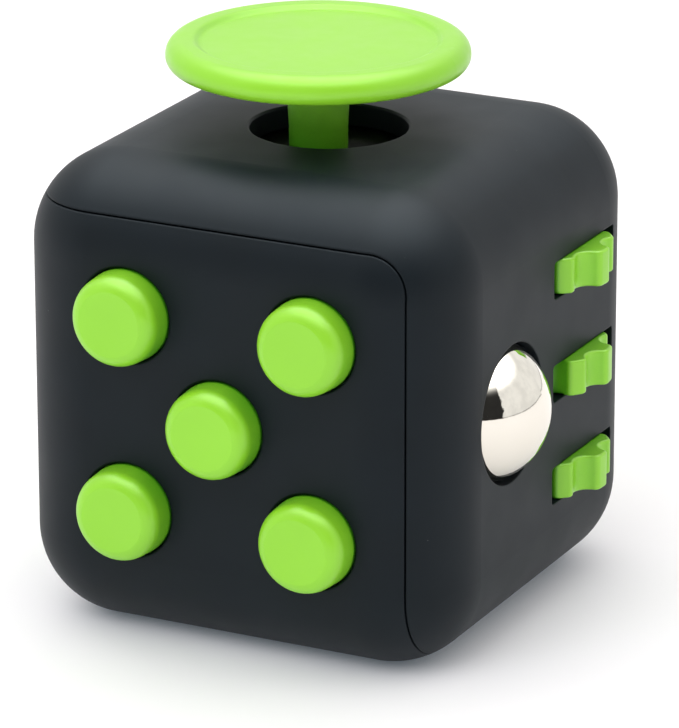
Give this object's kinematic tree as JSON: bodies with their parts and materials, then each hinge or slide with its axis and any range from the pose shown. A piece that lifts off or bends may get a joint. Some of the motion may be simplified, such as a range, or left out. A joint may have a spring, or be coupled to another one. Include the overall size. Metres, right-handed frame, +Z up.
{
  "type": "fidget cube",
  "caption": "Handheld desk fidget cube: push buttons, gliding joystick, thumb wheels, rolling steel ball, rocker switch, spinning dial and a thumb dimple, one play feature per face.",
  "frame": {"origin": "middle of the cube's underside, on the surface it stands on", "axes": "+Z up through the joystick; -Y is the face with the buttons; +X is the face with the thumb wheels and the ball"},
  "size_m": [0.0368, 0.0376, 0.0392],
  "materials": {
    "housing_black": "soft-touch matt, faint grain",
    "lime_plastic": "satin moulded",
    "steel_ball": "polished",
    "inner_black": "moulded",
    "natural_plastic": "slippery moulded acetal",
    "silicone": "translucent matt",
    "spring_steel": "rolled",
    "zinc_screw": "zinc plated",
    "bright_shaft": "ground"
  },
  "bodies": {
    "housing": {"rear_shell": "housing_black", "front_shell": "housing_black", "button_membrane": "silicone", "snap_domes": "spring_steel", "button_plate": "inner_black", "button_plate_screws": "zinc_screw", "glide_retainer": "inner_black", "centring_membrane": "silicone", "retainer_screws": "zinc_screw", "gear_axle": "bright_shaft", "gear_bracket": "inner_black", "gear_bracket_screws": "zinc_screw", "gear_detent_spring": "spring_steel", "ball_dome": "spring_steel", "ball_housing": "inner_black", "ball_housing_screws": "zinc_screw", "rocker_pin": "bright_shaft", "rocker_frame": "inner_black", "rocker_frame_screws": "zinc_screw", "rocker_spring": "spring_steel", "dial_bush": "natural_plastic"},
    "button_centre": {"button_centre": "lime_plastic"},
    "button_upper_left": {"button_upper_left": "lime_plastic"},
    "button_upper_right": {"button_upper_right": "lime_plastic"},
    "button_lower_left": {"button_lower_left": "lime_plastic"},
    "button_lower_right": {"button_lower_right": "lime_plastic"},
    "glide_carriage": {"glide_carriage": "natural_plastic"},
    "joystick": {"joystick": "lime_plastic", "glide_slider": "inner_black", "joystick_washer": "zinc_screw", "joystick_screw": "zinc_screw"},
    "gear_top": {"gear_top": "lime_plastic"},
    "gear_middle": {"gear_middle": "lime_plastic"},
    "gear_bottom": {"gear_bottom": "lime_plastic"},
    "ball_seat": {"ball_seat": "natural_plastic"},
    "ball": {"ball": "steel_ball"},
    "rocker": {"rocker": "lime_plastic"},
    "spin_dial": {"spin_dial": "lime_plastic", "dial_washer": "zinc_screw", "dial_screw": "zinc_screw"}
  },
  "joints": [
    {"name": "button_centre_press", "type": "slide", "parent": "housing", "child": "button_centre", "axis": [0, 1, 0], "range_m": [0, 0.0012], "stiffness_N_per_m": 900, "deforming": ["button_membrane", "snap_domes"]},
    {"name": "button_upper_left_press", "type": "slide", "parent": "housing", "child": "button_upper_left", "axis": [0, 1, 0], "range_m": [0, 0.0012], "stiffness_N_per_m": 900, "deforming": ["button_membrane", "snap_domes"]},
    {"name": "button_upper_right_press", "type": "slide", "parent": "housing", "child": "button_upper_right", "axis": [0, 1, 0], "range_m": [0, 0.0012], "stiffness_N_per_m": 600, "deforming": ["button_membrane"]},
    {"name": "button_lower_left_press", "type": "slide", "parent": "housing", "child": "button_lower_left", "axis": [0, 1, 0], "range_m": [0, 0.0012], "stiffness_N_per_m": 600, "deforming": ["button_membrane"]},
    {"name": "button_lower_right_press", "type": "slide", "parent": "housing", "child": "button_lower_right", "axis": [0, 1, 0], "range_m": [0, 0.0012], "stiffness_N_per_m": 900, "deforming": ["button_membrane", "snap_domes"]},
    {"name": "joystick_glide_y", "type": "slide", "parent": "housing", "child": "glide_carriage", "axis": [0, 1, 0], "range_m": [-0.0018, 0.0026], "stiffness_N_per_m": 160, "deforming": ["centring_membrane"]},
    {"name": "joystick_glide_x", "type": "slide", "parent": "glide_carriage", "child": "joystick", "axis": [1, 0, 0], "range_m": [-0.0016, 0.0028], "stiffness_N_per_m": 160, "deforming": ["centring_membrane"]},
    {"name": "gear_top_turn", "type": "hinge", "parent": "housing", "child": "gear_top", "pos_m": [0.0135, 0.006, 0.02389], "axis": [0, 0, 1], "continuous": true, "deforming": ["gear_detent_spring"]},
    {"name": "gear_middle_turn", "type": "hinge", "parent": "housing", "child": "gear_middle", "pos_m": [0.0135, 0.006, 0.01655], "axis": [0, 0, 1], "continuous": true, "deforming": ["gear_detent_spring"]},
    {"name": "gear_bottom_turn", "type": "hinge", "parent": "housing", "child": "gear_bottom", "pos_m": [0.0135, 0.006, 0.00921], "axis": [0, 0, 1], "continuous": true, "deforming": ["gear_detent_spring"]},
    {"name": "ball_press", "type": "slide", "parent": "housing", "child": "ball_seat", "axis": [-1, 0, 0], "range_m": [0, 0.0008], "stiffness_N_per_m": 1500, "deforming": ["ball_dome"]},
    {"name": "ball_roll", "type": "hinge", "parent": "ball_seat", "child": "ball", "pos_m": [0.0136, -0.00545, 0.01662], "axis": [0, 0, 1], "continuous": true},
    {"name": "rocker_flip", "type": "hinge", "parent": "housing", "child": "rocker", "pos_m": [0, 0.0136, 0.01655], "axis": [1, 0, 0], "range_deg": [-24, 0], "deforming": ["rocker_spring"]},
    {"name": "dial_spin", "type": "hinge", "parent": "housing", "child": "spin_dial", "pos_m": [-0.0175, 0, 0.01655], "axis": [-1, 0, 0], "continuous": true}
  ]
}
